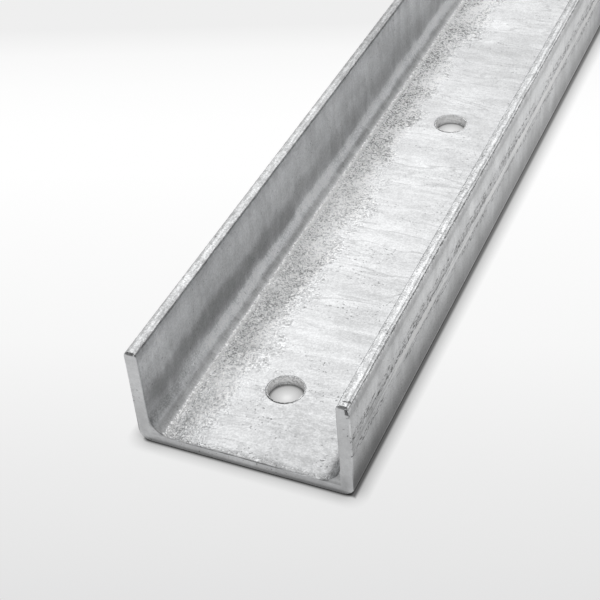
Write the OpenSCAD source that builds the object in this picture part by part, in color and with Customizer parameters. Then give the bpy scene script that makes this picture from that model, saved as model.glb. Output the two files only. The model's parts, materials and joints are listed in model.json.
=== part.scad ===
// Hot-rolled parallel-flange channel, cut and drilled as a retaining-wall post.
// It lies on the back of its web with the trough upwards, along the Y axis.
// The drilled end starts at -Y, and the origin is under the middle of the web.

/* [Section] */
// Depth of the channel, across both flanges
channel_depth = 100; // [75:1:150]
// Height of the flanges, measured from the back of the web
flange_height = 50; // [35:1:75]
// Thickness of each flange
flange_thickness = 6; // [4:0.1:10]
// Thickness of the web
web_thickness = 5; // [3.5:0.1:9]

/* [Rolled corners] */
// Radius of the fillets where the flanges run into the web
root_radius = 10; // [4:0.5:14]
// Radius along the two outer corners of the web
heel_radius = 5.5; // [0.5:0.1:8]
// Radius along both edges of each flange toe
toe_radius = 1.5; // [0.3:0.1:1.8]

/* [Length] */
// Length of the post between its sawn ends
post_length = 1200; // [600:10:3000]

/* [Holes] */
// Diameter of the holes through the web
hole_diameter = 17; // [9:0.5:26]
// Distance from the first sawn end to the centre of the first hole
first_hole = 44; // [25:1:100]
// Distance between the centres of neighbouring holes
hole_pitch = 224; // [100:1:500]
// Least distance from the last hole's centre to the far end
last_hole_margin = 30; // [20:1:150]

/* [Quality] */
// Segments in a full circle
smoothness = 96; // [24:8:160]

/* [Hidden] */
$fn = smoothness;
half_depth = channel_depth / 2;
inner_half = half_depth - flange_thickness;
drilled_length = post_length - first_hole - last_hole_margin;
hole_count = floor(drilled_length / hole_pitch) + 1;
first_hole_y = first_hole - post_length / 2;
// How far a cutting or joining shape runs into its neighbour
overlap = 1;

// What lies between a square corner at the origin and its rounded form.
// It points into the corner and runs on past both of its sides.
module corner_sliver(radius) {
    difference() {
        translate([-overlap, -overlap])
            square(radius + overlap);
        translate([radius, radius])
            circle(r = radius);
    }
}

// Draws a shape and its mirror image on the other side of the channel
module on_both_sides() {
    children();
    mirror([1, 0])
        children();
}

// One flange, with the fillet that joins it to the web
module flange_profile() {
    translate([inner_half, 0])
        square([flange_thickness, flange_height]);
    translate([inner_half, web_thickness])
        mirror([1, 0])
            corner_sliver(root_radius);
}

// What rolling rounds off one flange: its heel and both edges of its toe
module flange_rounding() {
    translate([half_depth, 0])
        mirror([1, 0])
            corner_sliver(heel_radius);
    translate([half_depth, flange_height])
        rotate(180)
            corner_sliver(toe_radius);
    translate([inner_half, flange_height])
        mirror([0, 1])
            corner_sliver(toe_radius);
}

// The rolled section, with the back of the web on the line y = 0
module channel_profile() {
    difference() {
        union() {
            translate([-half_depth, 0])
                square([channel_depth, web_thickness]);
            on_both_sides()
                flange_profile();
        }
        on_both_sides()
            flange_rounding();
    }
}

// The row of bolt holes along the middle of the web
module web_holes() {
    for (i = [0 : hole_count - 1])
        translate([0, first_hole_y + i * hole_pitch, -overlap])
            cylinder(d = hole_diameter, h = web_thickness + 2 * overlap);
}

// The rolled bar, sawn to length and drilled
module channel_post() {
    color("silver")
        difference() {
            translate([0, post_length / 2, 0])
                rotate([90, 0, 0])
                    linear_extrude(height = post_length)
                        channel_profile();
            web_holes();
        }
}

channel_post();
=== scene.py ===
import json
import math

import bmesh
import bpy
from mathutils import Euler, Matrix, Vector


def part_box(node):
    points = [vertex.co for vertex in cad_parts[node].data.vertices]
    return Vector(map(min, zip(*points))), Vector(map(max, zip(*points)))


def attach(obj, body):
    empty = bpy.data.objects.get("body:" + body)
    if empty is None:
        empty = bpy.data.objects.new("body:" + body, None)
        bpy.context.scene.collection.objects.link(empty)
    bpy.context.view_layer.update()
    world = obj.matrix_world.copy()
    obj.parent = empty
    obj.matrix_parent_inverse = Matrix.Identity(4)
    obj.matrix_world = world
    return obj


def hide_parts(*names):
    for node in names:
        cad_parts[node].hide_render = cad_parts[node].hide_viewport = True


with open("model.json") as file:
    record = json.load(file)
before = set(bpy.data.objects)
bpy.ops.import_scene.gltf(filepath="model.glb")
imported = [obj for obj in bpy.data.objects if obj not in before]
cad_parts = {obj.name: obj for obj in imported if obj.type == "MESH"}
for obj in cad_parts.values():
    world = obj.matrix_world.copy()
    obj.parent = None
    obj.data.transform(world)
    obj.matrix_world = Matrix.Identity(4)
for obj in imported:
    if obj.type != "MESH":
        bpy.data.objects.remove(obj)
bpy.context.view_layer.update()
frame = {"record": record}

# The post
# A hot-rolled steel channel, sawn to length and drilled along its web, then dipped whole in
# molten zinc. The zinc rounds every sawn and drilled edge, and it freezes in small lumps and
# nicks along the toes, so the bar is modelled as drawn and its edges are then roughened.
MM = 0.001
far_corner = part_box("channel_post")[1]
half_width = far_corner[0]
half_length = far_corner[1]
flange_height = far_corner[2]
flange_thickness = 6 * MM
root_radius = 10 * MM
heel_radius = 5.5 * MM
toe_radius = 1.5 * MM
bores = [m for m in frame["record"]["mounts"] if m["kind"] == "bore"]
hole_radius = bores[0]["dims"]["r_mm"] * MM
hole_rows = [m["pos_m"][1] for m in bores]
web_thickness = bores[0]["dims"]["length_mm"] * MM
inner_half = half_width - flange_thickness
# Places closer together than this count as the same
hair = 0.01 * MM


def choose(what, test):
    """Selects only the faces, edges or points that pass the test, in edit mode, and counts them."""
    bpy.ops.mesh.select_mode(type=what)
    bpy.ops.mesh.select_all(action="DESELECT")
    shape = bmesh.from_edit_mesh(bpy.context.object.data)
    parts = {"FACE": shape.faces, "EDGE": shape.edges, "VERT": shape.verts}[what]
    chosen = [part for part in parts if test(part)]
    for part in chosen:
        part.select_set(True)
    shape.select_flush_mode()
    bmesh.update_edit_mesh(bpy.context.object.data)
    return len(chosen)


def runs_along(edge):
    """Whether an edge lies along the bar."""
    a, b = edge.verts
    return abs(a.co.x - b.co.x) < hair and abs(a.co.z - b.co.z) < hair


def arris(x, z):
    """The test for the edge that runs along the bar at x and z, on either side of it."""
    def test(edge):
        place = edge.verts[0].co
        return runs_along(edge) and abs(abs(place.x) - x) < hair and abs(place.z - z) < hair
    return test


def cut_at(place, normal):
    """Cuts the whole mesh with one plane, and keeps both sides."""
    bpy.ops.mesh.select_all(action="SELECT")
    bpy.ops.mesh.bisect(plane_co=place, plane_no=normal)


# The web comes first, short at both ends by what the zinc's rounding adds there later
end_rounding = 0.4 * MM
end_row = half_length - end_rounding
bpy.ops.object.select_all(action="DESELECT")
bpy.ops.mesh.primitive_cube_add(size=1, location=(0, 0, web_thickness / 2))
post = bpy.context.object
post.name = "galvanised_post"
post.scale = (2 * half_width, 2 * end_row, web_thickness)
bpy.ops.object.transform_apply(location=True, rotation=False, scale=True)
bpy.ops.object.mode_set(mode="EDIT")

# The flanges rise from the web's two edges
for sign in (-1, 1):
    cut_at((sign * inner_half, 0, 0), (1, 0, 0))
choose("FACE", lambda f: f.normal.z > 0.9 and abs(f.calc_center_median().x) > inner_half)
flange_rise = (0, 0, flange_height - web_thickness)
bpy.ops.mesh.extrude_region_move(TRANSFORM_OT_translate={"value": flange_rise})
bpy.ops.mesh.select_all(action="SELECT")
bpy.ops.mesh.dissolve_limited(angle_limit=math.radians(1))

# The rolled roundings
for radius, steps, x, z in (
    (root_radius, 7, inner_half, web_thickness),
    (heel_radius, 4, half_width, 0),
    (toe_radius, 3, half_width, flange_height),
    (toe_radius, 3, inner_half, flange_height),
):
    choose("EDGE", arris(x, z))
    bpy.ops.mesh.bevel(offset=radius, segments=steps, profile=0.5, affect="EDGES")

# The zinc rounds the edges of the sawn ends, in two steps that come to the end rounding
choose("FACE", lambda f: abs(f.normal.y) > 0.9)
for inward, outward in ((0.15, 0.25), (0.25, 0.15)):
    bpy.ops.mesh.inset(thickness=inward * MM, depth=outward * MM)

# It rounds them most over the toes. Each row of points there is found by how far it lies in from the end
# and below the toe, then moved back along the bar and down, all in mm.
for inward, below, back, down in (
    (0.4, 0, 0.6, 0),
    (0.15, 0.15, 0.3, 0.3),
    (0, 0.4, 0, 0.6),
):
    for end in (-1, 1):
        row = end * (half_length - inward * MM)
        lowest = flange_height - (below + 0.02) * MM
        choose("VERT", lambda v: abs(v.co.y - row) < hair and v.co.z > lowest)
        bpy.ops.transform.translate(value=(0, -end * back * MM, -down * MM))

# Lines along the bar: close ones where the holes and the toes are, wide ones elsewhere
hole_patch = 12 * MM
patch_steps = 8
lines = [-hole_patch + i * 2 * hole_patch / patch_steps for i in range(patch_steps + 1)]
for x in (18 * MM, 26 * MM, half_width - flange_thickness / 2):
    lines += [-x, x]
for x in lines:
    cut_at((x, 0, 0), (1, 0, 0))
for z in (24 * MM, 34 * MM, 44 * MM):
    cut_at((0, 0, z), (0, 0, 1))

# Cross lines every 1.2 mm, in two rounds: 25 lengths, then 40 in each
for lengths in (25, 40):
    choose("EDGE", lambda e: runs_along(e) and abs(e.verts[0].co.y - e.verts[1].co.y) > 2 * MM)
    bpy.ops.mesh.subdivide(number_cuts=lengths - 1)

# The drilled holes: a square of the mesh comes out on each face and a ring goes in
lift = 2 * MM


def in_patch(part, row, margin):
    """Whether all of a face or edge lies in the square of the mesh around one hole."""
    limit = hole_patch + margin
    return all(abs(v.co.x) < limit and abs(v.co.y - row) < limit for v in part.verts)


def at_height(part, z):
    """Whether all of a face or edge lies at one height."""
    return all(abs(v.co.z - z) < hair for v in part.verts)


for row in hole_rows:
    choose("FACE", lambda f: in_patch(f, row, hair) and (at_height(f, 0) or at_height(f, web_thickness)))
    bpy.ops.mesh.delete(type="FACE")
    ring_points = choose("EDGE", lambda e: in_patch(e, row, hair) and e.is_boundary and at_height(e, 0))
    # The ring is bridged from a little way off and then pressed flat, or the bridge can turn over
    for z, off in ((0, -lift), (web_thickness, lift)):
        middle = (0, row, z + off)
        bpy.ops.mesh.primitive_circle_add(vertices=ring_points, radius=hole_radius, location=middle)
        choose("EDGE", lambda e: in_patch(e, row, hair) and (e.is_wire or e.is_boundary and at_height(e, z)))
        bpy.ops.mesh.bridge_edge_loops(number_cuts=3, interpolation="LINEAR")
        choose("FACE", lambda f: in_patch(f, row, hair)
               and (f.calc_center_median().z - z) * off > hair * lift)
        bpy.ops.transform.resize(value=(1, 1, 0), center_override=(0, row, z))
    choose("EDGE", lambda e: in_patch(e, row, -hair) and e.is_boundary)
    bpy.ops.mesh.bridge_edge_loops(number_cuts=2, interpolation="LINEAR")
bpy.ops.mesh.select_all(action="SELECT")
bpy.ops.mesh.normals_make_consistent(inside=False)


def rough_zone(name, test):
    """Puts the points of the mesh that pass the test in a group, for the zinc's lumps to act on."""
    choose("VERT", test)
    bpy.ops.object.vertex_group_add()
    bpy.context.object.vertex_groups.active.name = name
    bpy.ops.object.vertex_group_assign()


rough_zone("toes", lambda v: v.co.z > flange_height - toe_radius and abs(v.co.y) < half_length - hair)
rough_zone("lips", lambda v: abs(v.co.x) < inner_half
           and web_thickness - 0.4 * MM < v.co.z < web_thickness + 1 * MM
           and end_row - 1.3 * MM < abs(v.co.y) < half_length - hair)
rough_zone("rims", lambda v: v.co.z > web_thickness / 2
           and any(abs(math.hypot(v.co.x, v.co.y - row) - hole_radius) < 0.2 * MM for row in hole_rows))
bpy.ops.object.mode_set(mode="OBJECT")

# Zinc lumps and nicks: the toes only lose metal, while lips and rims stand proud in beads
for name, grain, depth, middle, way in (
    ("toes", 1.8 * MM, 0.35 * MM, 0.75, "NORMAL"),
    ("lips", 1.5 * MM, 1.0 * MM, 0.35, "Z"),
    ("rims", 1.6 * MM, 1.1 * MM, 0.15, "NORMAL"),
):
    lumps = bpy.data.textures.new("lumps_" + name, "CLOUDS")
    lumps.noise_scale = grain
    lumps.noise_depth = 2
    lumps.intensity = 0.8
    bpy.ops.object.modifier_add(type="DISPLACE")
    push = post.modifiers[-1]
    push.texture = lumps
    push.texture_coords = "LOCAL"
    push.vertex_group = name
    push.strength = depth
    push.mid_level = middle
    push.direction = way
    bpy.ops.object.modifier_apply(modifier=push.name)
bpy.ops.object.shade_smooth_by_angle(angle=math.radians(35))

# Hot-dip galvanised steel
# Steel with its mill scale pickled off, dipped whole in molten zinc and hung up to drain. That gives a
# pale satin metal, blotched where the zinc froze at different times, streaked across the bar where it ran
# off, and as rough as sandpaper on one side of the web, where ash and dross stuck to it.
# Its tone also holds painted highlights, painted reflections and painted shade, in bands along the bar.


def linear(code):
    """An sRGB hex colour as linear red, green, blue and alpha."""
    parts = [int(code[i:i + 2], 16) / 255 for i in (1, 3, 5)]
    return [p / 12.92 if p <= 0.04045 else ((p + 0.055) / 1.055) ** 2.4 for p in parts] + [1]


def node(tree, kind, links=(), **settings):
    """Adds a node with its settings, sets or links its inputs, and returns it."""
    new = tree.nodes.new(kind)
    for name, value in settings.items():
        setattr(new, name, value)
    for socket, value in dict(links).items():
        if isinstance(value, bpy.types.NodeSocket):
            tree.links.new(value, new.inputs[socket])
        else:
            new.inputs[socket].default_value = value
    return new


zinc = bpy.data.materials.new("hot_dip_galvanised_steel")
zinc.use_nodes = True
tree = zinc.node_tree
shader = tree.nodes["Principled BSDF"]
place = node(tree, "ShaderNodeTexCoord").outputs["Object"]
mm = node(tree, "ShaderNodeVectorMath", {0: place, "Scale": 1 / MM}, operation="SCALE").outputs[0]
across, along, up = node(tree, "ShaderNodeSeparateXYZ", {0: mm}).outputs
side = node(tree, "ShaderNodeMath", {0: across}, operation="ABSOLUTE").outputs[0]

# How far each spot lies from the nearer sawn end, in mm
end_place = half_length / MM
from_end = node(tree, "ShaderNodeMath", {0: along}, operation="ABSOLUTE").outputs[0]
from_end = node(tree, "ShaderNodeMath", {0: end_place, 1: from_end}, operation="SUBTRACT").outputs[0]

# How far each spot lies from the nearest hole's axis, in mm
first_row = hole_rows[0] / MM
pitch = (hole_rows[1] - hole_rows[0]) / MM
from_row = node(tree, "ShaderNodeMath", {0: along, 1: first_row + pitch / 2, 2: first_row - pitch / 2},
                operation="WRAP").outputs[0]
from_row = node(tree, "ShaderNodeMath", {0: from_row, 1: first_row}, operation="SUBTRACT").outputs[0]
from_axis = node(tree, "ShaderNodeCombineXYZ", {0: across, 1: from_row}).outputs[0]
from_axis = node(tree, "ShaderNodeVectorMath", {0: from_axis}, operation="LENGTH").outputs["Value"]

# Noises, each with the size of its patches in mm across, along and up the bar, its detail and the band of
# its values that is spread from 0 to 1. The sand's real grains are about 0.3 mm, too fine to show, so they
# are drawn three times as large. Each noise lies so many patches away from the one before.
NOISE_STEP = 17.3
field = {}
for name, sizes, detail, band_start, band_end in (
    ("clouds", (20, 20, 20), 4, 0.38, 0.62),
    ("blotches", (12, 6, 12), 5, 0.45, 0.57),
    ("drains", (12, 2.6, 12), 3, 0.46, 0.60),
    ("curtains", (70, 9, 40), 4, 0.38, 0.62),
    ("ripple_path", (45, 8, 30), 1, 0.30, 0.70),
    ("mottle", (2.4, 1.8, 2.4), 3, 0.30, 0.70),
    ("sand", (0.86, 0.86, 0.86), 3, 0.43, 0.60),
    ("lumps", (1.9, 1.6, 1.9), 2, 0.36, 0.64),
    ("specks", (1.3, 1.0, 1.3), 1, 0.67, 0.73),
    ("speck_groups", (24, 16, 24), 2, 0.46, 0.58),
    ("edge_wander", (24, 30, 24), 3, 0.30, 0.70),
    ("sill_wander", (24, 26, 60), 3, 0.30, 0.70),
    ("toe_wander", (60, 40, 60), 3, 0.30, 0.70),
    ("toe_grain", (1.2, 5.0, 1.2), 4, 0.30, 0.70),
    ("rolling", (60, 60, 1.1), 2, 0.52, 0.62),
    ("pits", (1.3, 3.0, 0.9), 2, 0.50, 0.60),
    ("pit_runs", (60, 26, 2.6), 2, 0.42, 0.52),
):
    shift = len(field) * NOISE_STEP
    spot = node(tree, "ShaderNodeVectorMath", {0: mm, 1: [1 / size for size in sizes], 2: [shift] * 3},
                operation="MULTIPLY_ADD").outputs[0]
    # Wide patches are warped out of their round shape
    warp = 0.5 if sizes[0] > 5 else 0
    noise = node(tree, "ShaderNodeTexNoise", {"Vector": spot, "Scale": 1, "Detail": detail, "Roughness": 0.6,
                                              "Distortion": warp}).outputs[0]
    field[name] = node(tree, "ShaderNodeMapRange", {"Value": noise, "From Min": band_start,
                                                    "From Max": band_end},
                       interpolation_type="SMOOTHSTEP").outputs[0]

field.update(across=across, up=up, side=side, from_end=from_end, from_axis=from_axis, from_row=from_row)

# Places that wander by up to so many mm of a noise: the sandy zone's right edge, the painted shade low on
# the inner walls and the painted band of light on the fillet under it, the painted highlight along the sandy
# zone and the lines along the toes
for name, wander, most, value in (
    ("sandy_edge", "edge_wander", 16, "across"),
    ("sandy_x", "lumps", 5, "sandy_edge"),
    ("sill_z", "sill_wander", 5, "up"),
    ("fillet_z", "sill_wander", 2, "up"),
    ("ridge_x", "lumps", 1.0, "across"),
    ("toe_side", "toe_wander", 0.8, "side"),
):
    field[name] = node(tree, "ShaderNodeMath", {0: field[wander], 1: most, 2: field[value]},
                       operation="MULTIPLY_ADD").outputs[0]

# Where each finish and each band of painted light or shade lies: a zone rises over its first two places in
# mm and falls over its last two. On a side where it has no edge of its own, they lie past the bar.
for name, value, (start, full, fading, end) in (
    ("inside", "side", (-2, -1, 43.7, 44.3)),
    ("outside", "side", (49.3, 49.7, 60, 61)),
    ("low", "up", (-2, -1, 5.4, 7)),
    ("on_top", "up", (4.6, 4.9, 60, 61)),
    ("sandy_left", "across", (-38.5, -36.8, 60, 61)),
    ("sandy_right", "sandy_x", (-60, -59, -28, 0)),
    ("pale_left", "across", (-60, -59, -29, -10)),
    ("ripples", "ripple_path", (0.38, 0.49, 0.51, 0.62)),
    ("right_half", "across", (-14, 16, 60, 61)),
    ("near_end", "from_end", (-2, -1, 10, 60)),
    ("sill_reach", "from_end", (-2, -1, 80, 220)),
    ("sill_run", "from_end", (0, 12, 80, 220)),
    ("sawn", "from_end", (-2, -1, 0.2, 0.5)),
    ("lip", "from_end", (0.1, 0.3, 1.5, 4.5)),
    # Painted highlight and painted shade in bands along the fillets
    ("ridge", "ridge_x", (-37.6, -37.0, -36.4, -35.7)),
    ("upper_fillet", "fillet_z", (8.5, 10.8, 13.0, 17.0)),
    ("gutter", "across", (-40, -39.3, -38.8, -38)),
    # Painted shade low on the sawn ends
    ("sole", "up", (-2, -1, 1.1, 2.8)),
    # Painted light high on the inner walls
    ("wall_top", "up", (32, 42, 60, 61)),
    # Painted light on the heel roundings
    ("heel_side", "side", (44, 47, 60, 61)),
    ("heel", "up", (-2, -1, 3, 5.5)),
    # Painted shade low on the inner walls and under the toes
    ("sill", "sill_z", (14.5, 22, 25.5, 33)),
    ("under_toe", "up", (47.4, 48.4, 49.4, 49.9)),
    # Painted light on the hole walls, and painted shade on the near side of their rims, in the near holes
    # and at their foot
    ("bore", "from_axis", (-2, -1, 8.6, 8.9)),
    ("rim", "from_axis", (8.2, 8.4, 8.7, 9.3)),
    ("rim_near", "from_row", (-20, -19, -7, -4)),
    ("bore_foot", "up", (-2, -1, 0.7, 2.0)),
    ("toe", "up", (49.0, 49.6, 60, 61)),
    ("toe_strip", "toe_side", (46.5, 47.3, 47.9, 48.5)),
    ("toe_line", "toe_side", (48.4, 48.8, 49.1, 49.6)),
    ("toe_inner", "side", (43.9, 44.3, 44.9, 45.7)),
    ("toe_outer", "side", (48.6, 49.2, 60, 61)),
    # Painted reflection bands high on the outer faces: a dark line under the toe, then darker and lighter
    # bands
    ("shoulder", "up", (47.9, 48.6, 49.5, 49.8)),
    ("brow", "up", (43.5, 45.5, 47.5, 48.7)),
    ("cheek", "up", (32, 36, 40, 44)),
    # A painted glow, some way in from the ends
    ("glow", "from_end", (100, 180, 270, 350)),
    ("far_reach", "from_end", (180, 300, 2000, 2001)),
    ("very_far", "from_end", (320, 400, 2000, 2001)),
    # Painted shade low on the outer faces, and a painted highlight band across them
    ("foot", "up", (-2, -1, 4, 23)),
    ("gleam", "up", (25.5, 27, 29, 31)),
    ("pit_row", "up", (29, 31, 35, 37)),
    ("low_pit_row", "up", (21.5, 23, 25, 26.5)),
    # Painted shade just above the heels
    ("ankle", "up", (4, 5.5, 8, 16)),
    ("line_rows", "up", (26.5, 28.5, 31.5, 33)),
):
    rise = node(tree, "ShaderNodeMapRange", {"Value": field[value], "From Min": start, "From Max": full},
                interpolation_type="SMOOTHSTEP").outputs[0]
    fall = node(tree, "ShaderNodeMapRange", {"Value": field[value], "From Min": fading, "From Max": end,
                                             "To Min": 1, "To Max": 0},
                interpolation_type="SMOOTHSTEP").outputs[0]
    field[name] = node(tree, "ShaderNodeMath", {0: rise, 1: fall}, operation="MULTIPLY").outputs[0]

# Single marks by the near end: a dark drip of dross on the right toe's corner and a scratch across that
# toe, each with its middle and its half sizes in mm, and with an edge that the lumps make ragged
for name, middle, sizes in (
    ("drip", (48.7, -end_place, 47.9), (0.9, 2.0, 2.1)),
    ("scratch", (47.4, 3.6 - end_place, 50), (2.8, 0.6, 1.5)),
):
    off = node(tree, "ShaderNodeVectorMath", {0: mm, 1: middle}, operation="SUBTRACT").outputs[0]
    off = node(tree, "ShaderNodeVectorMath", {0: off, 1: sizes}, operation="DIVIDE").outputs[0]
    off = node(tree, "ShaderNodeVectorMath", {0: off}, operation="LENGTH").outputs["Value"]
    off = node(tree, "ShaderNodeMath", {0: field["lumps"], 1: 0.6, 2: off},
               operation="MULTIPLY_ADD").outputs[0]
    field[name] = node(tree, "ShaderNodeMapRange", {"Value": off, "From Min": 0.9, "From Max": 1.2,
                                                    "To Min": 1, "To Max": 0},
                       interpolation_type="SMOOTHSTEP").outputs[0]

# What lies only where several of these meet. Some zones keep their name and only become smaller.
for name, parts in (
    ("web", ("inside", "low", "on_top")),
    ("web_drains", ("web", "drains")),
    ("web_ripples", ("web", "ripples", "curtains")),
    ("sandy", ("web", "sandy_left", "sandy_right")),
    ("sandy_grain", ("sandy", "sand")),
    ("sandy_lumps", ("sandy", "lumps")),
    ("sandy_end", ("sandy", "near_end")),
    ("sandy_far", ("sandy", "far_reach")),
    ("sandy_far_lumps", ("sandy_lumps", "far_reach")),
    ("sandy_end_grain", ("sandy_grain", "near_end")),
    ("web_right", ("web", "right_half")),
    ("web_glow", ("web", "glow")),
    ("web_near", ("web", "near_end")),
    ("web_pale", ("web", "sandy_left", "pale_left")),
    ("dull_end", ("web_right", "near_end")),
    ("dull_mottle", ("dull_end", "mottle")),
    ("speckled", ("specks", "speck_groups")),
    ("ridge", ("inside", "on_top", "ridge")),
    ("ridge_grain", ("ridge", "sand")),
    ("upper_fillet", ("inside", "upper_fillet")),
    ("gutter", ("inside", "on_top", "gutter")),
    ("fillet_near", ("upper_fillet", "near_end")),
    ("fillet_sand", ("upper_fillet", "sand")),
    ("sill", ("inside", "sill")),
    ("sill_near", ("sill", "sill_run")),
    ("under_toe", ("inside", "under_toe")),
    ("wall_top", ("inside", "wall_top")),
    ("wall_top_near", ("wall_top", "near_end")),
    ("bore_near", ("bore", "sill_reach")),
    ("bore_grain", ("bore", "lumps")),
    ("bore_foot", ("bore", "bore_foot")),
    ("rim", ("rim", "on_top")),
    ("rim_near", ("rim", "rim_near")),
    ("rim_grain", ("rim", "sand")),
    ("lip", ("web", "lip")),
    ("lip_grain", ("lip", "sand")),
    ("sawn_web", ("sawn", "low")),
    ("sole", ("sawn", "sole")),
    ("sawn_sand", ("sawn", "sand")),
    ("heel", ("heel_side", "heel")),
    ("heel_near", ("heel", "near_end")),
    ("toe_grain", ("toe", "toe_grain")),
    ("toe_sand", ("toe", "sand")),
    ("toe_strip", ("toe", "toe_strip")),
    ("toe_line", ("toe", "toe_line", "right_half")),
    ("toe_inner", ("toe", "toe_inner")),
    ("toe_outer", ("toe", "toe_outer")),
    ("toe_right", ("toe", "right_half")),
    ("toe_right_outer", ("toe_outer", "right_half")),
    ("toe_far", ("toe", "far_reach")),
    ("toe_near", ("toe", "near_end")),
    ("toe_outer_far", ("toe_outer", "far_reach")),
    ("toe_right_far", ("toe_right", "far_reach")),
    ("shoulder", ("outside", "shoulder")),
    ("shoulder_grain", ("shoulder", "lumps")),
    ("brow", ("outside", "brow")),
    ("cheek", ("outside", "cheek")),
    ("foot", ("outside", "foot")),
    ("foot_mid", ("foot", "sill_reach")),
    ("foot_near", ("foot", "near_end")),
    ("gleam", ("outside", "gleam")),
    ("gleam_near", ("gleam", "near_end")),
    ("outside_far", ("outside", "far_reach")),
    ("pitted", ("outside", "pit_row", "pit_runs", "pits")),
    ("pitted_low", ("outside", "low_pit_row", "pit_runs", "pits")),
    ("ankle", ("outside", "ankle")),
    ("inside_far", ("inside", "very_far")),
    ("rolled", ("outside", "line_rows", "rolling")),
):
    total = field[parts[0]]
    for part in parts[1:]:
        total = node(tree, "ShaderNodeMath", {0: total, 1: field[part]}, operation="MULTIPLY").outputs[0]
    field[name] = total

# How pale the metal is, how far it stands proud in mm and how rough it is: each is a base value and the
# shares that the finishes add to it. Some shares of the tone are painted highlights and painted shade.
sums = {}
for name, total, shares in (
    ("tone", 0.785, (
        # Zinc all over
        ("clouds", 0.05), ("blotches", 0.035), ("curtains", 0.055), ("mottle", 0.03), ("sand", 0.06),
        ("speckled", -0.22),
        # The web and its sandy side, with a painted glow across the web some way in from the ends
        ("web_drains", 0.012), ("web_ripples", -0.09), ("web", -0.015), ("web_right", -0.065),
        ("web_glow", 0.03), ("web_near", -0.05), ("dull_end", -0.04), ("dull_mottle", 0.05),
        ("web_pale", 0.17), ("sandy", -0.30), ("sandy_grain", 0.59), ("sandy_lumps", 0.16),
        ("sandy_end", 0.19), ("sandy_end_grain", -0.32), ("sandy_far", -0.16), ("sandy_far_lumps", 0.16),
        # The fillets and the inner walls, with painted highlights and painted shade in bands along them
        ("ridge", 0.27), ("gutter", -0.05), ("ridge_grain", 0.30), ("upper_fillet", 0.13),
        ("fillet_near", -0.27), ("fillet_sand", 0.06), ("sill", -0.15), ("sill_near", -0.26),
        ("under_toe", -0.05), ("wall_top", 0.115), ("wall_top_near", 0.13), ("inside_far", 0.055),
        # The holes, with painted light and shade on their walls and near rims, and the lip of the sawn end
        ("bore", 0.24), ("bore_near", -0.05), ("bore_grain", 0.26), ("bore_foot", -0.16), ("rim", -0.20),
        ("rim_grain", 0.30), ("rim_near", -0.42), ("lip", -0.03), ("lip_grain", 0.04),
        # The toes
        ("toe", -0.20), ("toe_near", -0.035), ("toe_outer_far", 0.10), ("toe_grain", 0.14),
        ("toe_sand", 0.06), ("toe_strip", 0.07), ("toe_line", -0.06), ("toe_inner", 0.08),
        ("toe_outer", -0.08), ("toe_right", 0.045), ("toe_right_outer", 0.20), ("toe_far", -0.11),
        ("toe_right_far", 0.11), ("scratch", -0.30), ("drip", -0.45),
        # The sawn ends, with painted shade low on them
        ("sawn", 0.10), ("sawn_web", 0.01), ("sole", -0.19), ("sawn_sand", -0.04),
        # The outer faces, from the heels to the toes: painted reflection bands, besides the pits and rolled
        # lines
        ("heel", 0.28), ("heel_near", -0.22), ("ankle", -0.07), ("outside_far", 0.04), ("outside", 0.06),
        ("shoulder", -0.18), ("shoulder_grain", 0.14), ("brow", -0.13), ("cheek", 0.05), ("foot", -0.09),
        ("foot_mid", -0.10), ("foot_near", -0.18), ("gleam", 0.14), ("gleam_near", -0.18),
        ("pitted", -0.45), ("pitted_low", -0.38), ("rolled", -0.17),
    )),
    ("height", 0, (
        ("web_drains", 0.008), ("web_ripples", -0.01), ("mottle", 0.02), ("sand", 0.008),
        ("sandy", -0.13), ("sandy_grain", 0.14), ("sandy_lumps", 0.12), ("ridge_grain", 0.06),
        ("ridge", -0.03), ("fillet_sand", 0.02), ("speckled", -0.08), ("toe_grain", 0.06),
        ("toe_sand", 0.03), ("toe_line", -0.10), ("bore_grain", 0.20), ("rim_grain", 0.10),
        ("lip_grain", 0.05), ("pitted", -0.15), ("pitted_low", -0.12), ("rolled", -0.06),
        ("drip", 0.3), ("scratch", -0.2),
    )),
    ("roughness", 0.28, (
        ("clouds", 0.08), ("blotches", 0.06), ("sandy", 0.08), ("sawn", 0.08),
    )),
):
    for part, share in shares:
        total = node(tree, "ShaderNodeMath", {0: field[part], 1: share, 2: total},
                     operation="MULTIPLY_ADD").outputs[0]
    sums[name] = total

# The tone is as the eye sees it, so it is turned linear before it tints the zinc
SCREEN_POWER = 2.2
palest = linear("#EEEFF0")[:3]
glint = node(tree, "ShaderNodeMath", {0: sums["tone"], 1: SCREEN_POWER}, operation="POWER").outputs[0]
colour = node(tree, "ShaderNodeVectorMath", {0: palest, "Scale": glint}, operation="SCALE").outputs[0]
tree.links.new(colour, shader.inputs["Base Color"])
tree.links.new(sums["roughness"], shader.inputs["Roughness"])
shader.inputs["Metallic"].default_value = 1
relief = node(tree, "ShaderNodeBump", {"Height": sums["height"], "Distance": MM, "Strength": 1.0})
tree.links.new(relief.outputs[0], shader.inputs["Normal"])
post.data.materials.append(zinc)

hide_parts("channel_post")
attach(post, "root")

# The studio floor
# A wide sheet of white paper. Its tone falls off slowly towards the viewer and the far end.
floor_size = 12
bpy.ops.object.select_all(action="DESELECT")
bpy.ops.mesh.primitive_plane_add(size=floor_size, location=(0, 0, 0))
floor = bpy.context.object
floor.name = "paper_floor"
paper = bpy.data.materials.new("white_paper")
paper.use_nodes = True
tree = paper.node_tree
tree.nodes.clear()
place = node(tree, "ShaderNodeTexCoord").outputs["Object"]
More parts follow.
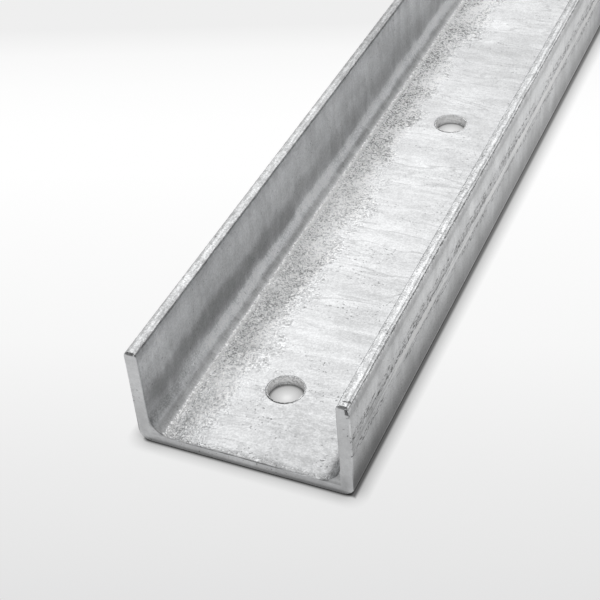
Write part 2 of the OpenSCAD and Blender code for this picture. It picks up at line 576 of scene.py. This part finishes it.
# The direction along the floor that points up in the photograph, and where its lower and upper edges lie
PHOTO_UP = (-0.321, 0.947, 0)
near_edge = -half_length - 68 * MM
far_edge = -half_length + 411 * MM
along = node(tree, "ShaderNodeVectorMath", {0: place, 1: PHOTO_UP}, operation="DOT_PRODUCT").outputs["Value"]
height = node(tree, "ShaderNodeMapRange", {"Value": along, "From Min": near_edge, "From Max": far_edge})
tone = node(tree, "ShaderNodeValToRGB", {"Fac": height.outputs["Result"]})
stops = [(0.0, "#DFDFE0"), (0.11, "#E7E7E7"), (0.2, "#ECECEC"), (0.37, "#F7F7F7"), (0.55, "#FCFCFC"),
         (0.66, "#FFFFFF"), (0.76, "#FFFFFF"), (0.85, "#FDFDFD"), (0.93, "#F9F9F9"), (1.0, "#EFEFEF")]
ramp = tone.color_ramp
while len(ramp.elements) < len(stops):
    ramp.elements.new(0.5)
for element, (position, code) in zip(ramp.elements, stops):
    element.position = position
    element.color = linear(code)

# The post's shadow on the paper: nearly black just inside its outline, where it touches, then a soft edge.
# Light gets in under the left heel, so the outline starts further in there.
spot = node(tree, "ShaderNodeSeparateXYZ", {0: place}).outputs
lit_heel = 3.5 * MM
past_sides = []
for axis, middle, half in (
    (0, lit_heel / 2, half_width - lit_heel / 2),
    (1, 0, half_length),
):
    off_middle = node(tree, "ShaderNodeMath", {0: spot[axis], 1: middle}, operation="SUBTRACT").outputs[0]
    size = node(tree, "ShaderNodeMath", {0: off_middle}, operation="ABSOLUTE").outputs[0]
    past_sides.append(node(tree, "ShaderNodeMath", {0: size, 1: half}, operation="SUBTRACT").outputs[0])
outside_by = node(tree, "ShaderNodeMath", {0: past_sides[0], 1: past_sides[1]},
                  operation="MAXIMUM").outputs[0]

# Away from the near end the shadow reaches further out, is less dark and is wider
changed_row = -half_length + 250 * MM
by_distance = {}
for name, near_value, far_value in (
    ("outline", 0, 0.2 * MM),
    ("darkest", 0.27, 0.40),
    ("width", 7.5 * MM, 8.8 * MM),
):
    by_distance[name] = node(tree, "ShaderNodeMapRange", {
        "Value": spot[1], "From Min": -half_length, "From Max": changed_row,
        "To Min": near_value, "To Max": far_value}).outputs["Result"]
outside_by = node(tree, "ShaderNodeMath", {0: outside_by, 1: by_distance["outline"]},
                  operation="SUBTRACT").outputs[0]
shades = []
for start, stop, dark, pale in (
    (-0.6 * MM, 1.0 * MM, by_distance["darkest"], 1.0),
    (-6 * MM, -12 * MM, 0.0, 0.94),
):
    shades.append(node(tree, "ShaderNodeMapRange", {"Value": outside_by, "From Min": start, "From Max": stop,
                                                    "To Min": dark, "To Max": pale},
                       interpolation_type="SMOOTHSTEP").outputs[0])
core = node(tree, "ShaderNodeMath", {0: shades[0], 1: shades[1]}, operation="MAXIMUM").outputs[0]
contact = node(tree, "ShaderNodeAmbientOcclusion", {"Distance": by_distance["width"]},
               samples=16).outputs["AO"]
contact = node(tree, "ShaderNodeMath", {0: contact, 1: core}, operation="MULTIPLY").outputs[0]
crease_width = 1.6 * MM
crease = node(tree, "ShaderNodeAmbientOcclusion", {"Distance": crease_width}, samples=16).outputs["AO"]
crease = node(tree, "ShaderNodeMath", {0: crease, 1: 2}, operation="POWER").outputs[0]
contact = node(tree, "ShaderNodeMath", {0: contact, 1: crease}, operation="MULTIPLY").outputs[0]

# In its own reflection the shadow is broad, and darkest towards the viewer's side of the room
broad_width = 90 * MM
dark_row = -half_length - 20 * MM
full_row = -half_length + 220 * MM
broad = node(tree, "ShaderNodeAmbientOcclusion", {"Distance": broad_width}, samples=16).outputs["AO"]
broad = node(tree, "ShaderNodeMath", {0: broad, 1: 1.1}, operation="POWER").outputs[0]
front = node(tree, "ShaderNodeMapRange", {"Value": spot[1], "From Min": dark_row, "From Max": full_row,
                                          "To Min": 0.85},
             interpolation_type="SMOOTHSTEP").outputs[0]
broad = node(tree, "ShaderNodeMath", {0: broad, 1: front}, operation="MULTIPLY").outputs[0]
in_holes = node(tree, "ShaderNodeMath", {0: contact, 1: shades[1]}, operation="MULTIPLY").outputs[0]
broad = node(tree, "ShaderNodeMath", {0: broad, 1: in_holes}, operation="MAXIMUM").outputs[0]
path = node(tree, "ShaderNodeLightPath")
shade = node(tree, "ShaderNodeMix", {0: path.outputs["Is Camera Ray"], 2: broad, 3: contact}).outputs[0]
glow = node(tree, "ShaderNodeEmission", {"Color": tone.outputs["Color"], "Strength": shade})
matt = node(tree, "ShaderNodeBsdfDiffuse", {"Color": linear("#DDDDDD")})
seen = path.outputs["Is Camera Ray"]
for other in ("Is Glossy Ray", "Is Transmission Ray"):
    seen = node(tree, "ShaderNodeMath", {0: seen, 1: path.outputs[other]}, operation="MAXIMUM").outputs[0]
mix = node(tree, "ShaderNodeMixShader", {0: seen, 1: matt.outputs[0], 2: glow.outputs[0]})
node(tree, "ShaderNodeOutputMaterial", {"Surface": mix.outputs[0]})
floor.data.materials.append(paper)

# The studio light
# A dim room with large soft lamps round the far end and the left side. The viewer's side is nearly dark, so
# every edge that faces it shows as a dark line.
world = bpy.data.worlds.new("studio")
bpy.context.scene.world = world
world.use_nodes = True
tree = world.node_tree
tree.nodes.clear()
way = node(tree, "ShaderNodeTexCoord").outputs["Generated"]
LAMP_FOCUS = 12
light = 0.02  # what the room gives without its lamps
# Each lamp: degrees clockwise from straight behind the far end, degrees above the floor, and strength
for bearing, height, strength in (
    (0, 72, 1.10),
    (315, 56, 1.32),
    (0, 32, 1.04),
    (330, 32, 0.46),
    (60, 32, 0.23),
    (90, 56, 0.58),
    (270, 8, 1.27),
    (300, 8, 1.55),
    (180, 42, 0.40),
):
    east, north = math.sin(math.radians(bearing)), math.cos(math.radians(bearing))
    level, upward = math.cos(math.radians(height)), math.sin(math.radians(height))
    toward = node(tree, "ShaderNodeVectorMath", {0: way, 1: (level * east, level * north, upward)},
                  operation="DOT_PRODUCT").outputs["Value"]
    facing = node(tree, "ShaderNodeMath", {0: toward, 1: 0}, operation="MAXIMUM").outputs[0]
    lamp = node(tree, "ShaderNodeMath", {0: facing, 1: LAMP_FOCUS}, operation="POWER").outputs[0]
    light = node(tree, "ShaderNodeMath", {0: lamp, 1: strength, 2: light},
                 operation="MULTIPLY_ADD").outputs[0]
back = node(tree, "ShaderNodeBackground", {"Color": linear("#FFFFFF"), "Strength": light})
node(tree, "ShaderNodeOutputWorld", {"Surface": back.outputs[0]})

# The camera
# It stands above the near end, to the right of the post, where the photograph was taken.
lens = bpy.data.cameras.new("camera")
lens.sensor_width = 36
lens.lens = 82.47
camera = bpy.data.objects.new("camera", lens)
bpy.context.collection.objects.link(camera)
camera.location = (207.95 * MM, -943.56 * MM, 420.73 * MM)
camera.rotation_euler = Euler([math.radians(a) for a in (50.146, 4.073, 23.552)], "XYZ")
bpy.context.scene.camera = camera
bpy.context.scene.view_settings.view_transform = "Standard"
